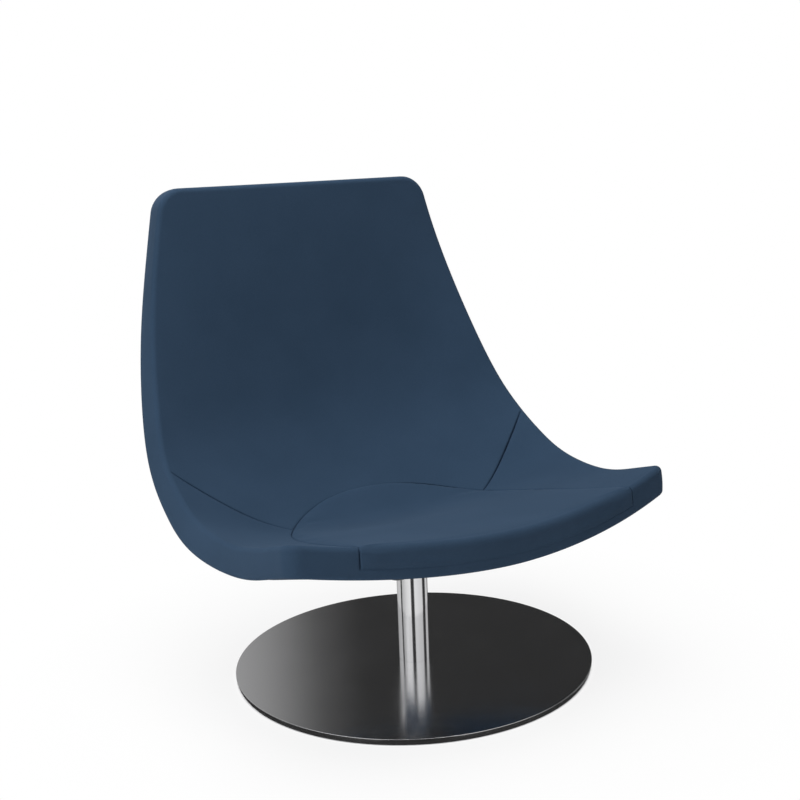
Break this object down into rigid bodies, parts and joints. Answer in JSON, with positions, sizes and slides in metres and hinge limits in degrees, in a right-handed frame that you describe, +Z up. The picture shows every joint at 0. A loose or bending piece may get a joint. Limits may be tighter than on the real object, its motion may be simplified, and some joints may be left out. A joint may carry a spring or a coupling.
{
  "type": "pedestal swivel armchair",
  "caption": "Upholstered moulded-shell armchair with a high tapered back, low wings and a padded seat, turning on a steel column and a flat round base.",
  "frame": {"origin": "centre of the underside of the base, on the floor and on the swivel axis", "axes": "+Z up along the swivel axis, -Y the way the sitter faces, X across the chair"},
  "size_m": [0.861, 0.842, 0.9302],
  "materials": {
    "satin_stainless": "fine satin brushed stainless steel",
    "dark_steel": "black painted steel, semi-matt",
    "zinc_steel": "dull zinc plating",
    "nylon": "smooth off-white nylon",
    "felt": "dense dark felt",
    "plywood": "bare moulded beech plywood",
    "foam": "cut upholstery foam",
    "blue_cloth": "dark slate-blue woven wool cloth, matt"
  },
  "bodies": {
    "base": {"base_cover": "satin_stainless", "base_weight_plate": "dark_steel", "base_floor_pad": "felt", "column_tube": "satin_stainless", "column_foot_plug": "dark_steel", "bearing_housing": "dark_steel", "lower_bush": "nylon", "upper_bush": "nylon", "thrust_washer": "nylon", "foot_screw_1": "zinc_steel", "foot_screw_2": "zinc_steel", "foot_screw_3": "zinc_steel", "foot_screw_4": "zinc_steel"},
    "seat": {"spindle": "dark_steel", "retaining_washer": "zinc_steel", "retaining_bolt": "zinc_steel", "back_cover": "blue_cloth", "seat_pad_cover": "blue_cloth", "seat_border_cover": "blue_cloth", "seat_pad_foam": "foam", "front_foam": "foam", "moulded_shell": "plywood", "rear_foam": "foam", "outer_cover": "blue_cloth", "shell_screw_1": "zinc_steel", "shell_screw_2": "zinc_steel", "shell_screw_3": "zinc_steel", "shell_screw_4": "zinc_steel", "seat_block": "plywood", "seat_plate": "dark_steel", "seat_bolt_1": "zinc_steel", "seat_bolt_washer_1": "zinc_steel", "threaded_insert_1": "zinc_steel", "seat_bolt_2": "zinc_steel", "seat_bolt_washer_2": "zinc_steel", "threaded_insert_2": "zinc_steel", "seat_bolt_3": "zinc_steel", "seat_bolt_washer_3": "zinc_steel", "threaded_insert_3": "zinc_steel", "seat_bolt_4": "zinc_steel", "seat_bolt_washer_4": "zinc_steel", "threaded_insert_4": "zinc_steel"}
  },
  "joints": [
    {"name": "seat_swivel", "type": "hinge", "parent": "base", "child": "seat", "pos_m": [0, 0, 0.15], "axis": [0, 0, 1], "continuous": true}
  ]
}
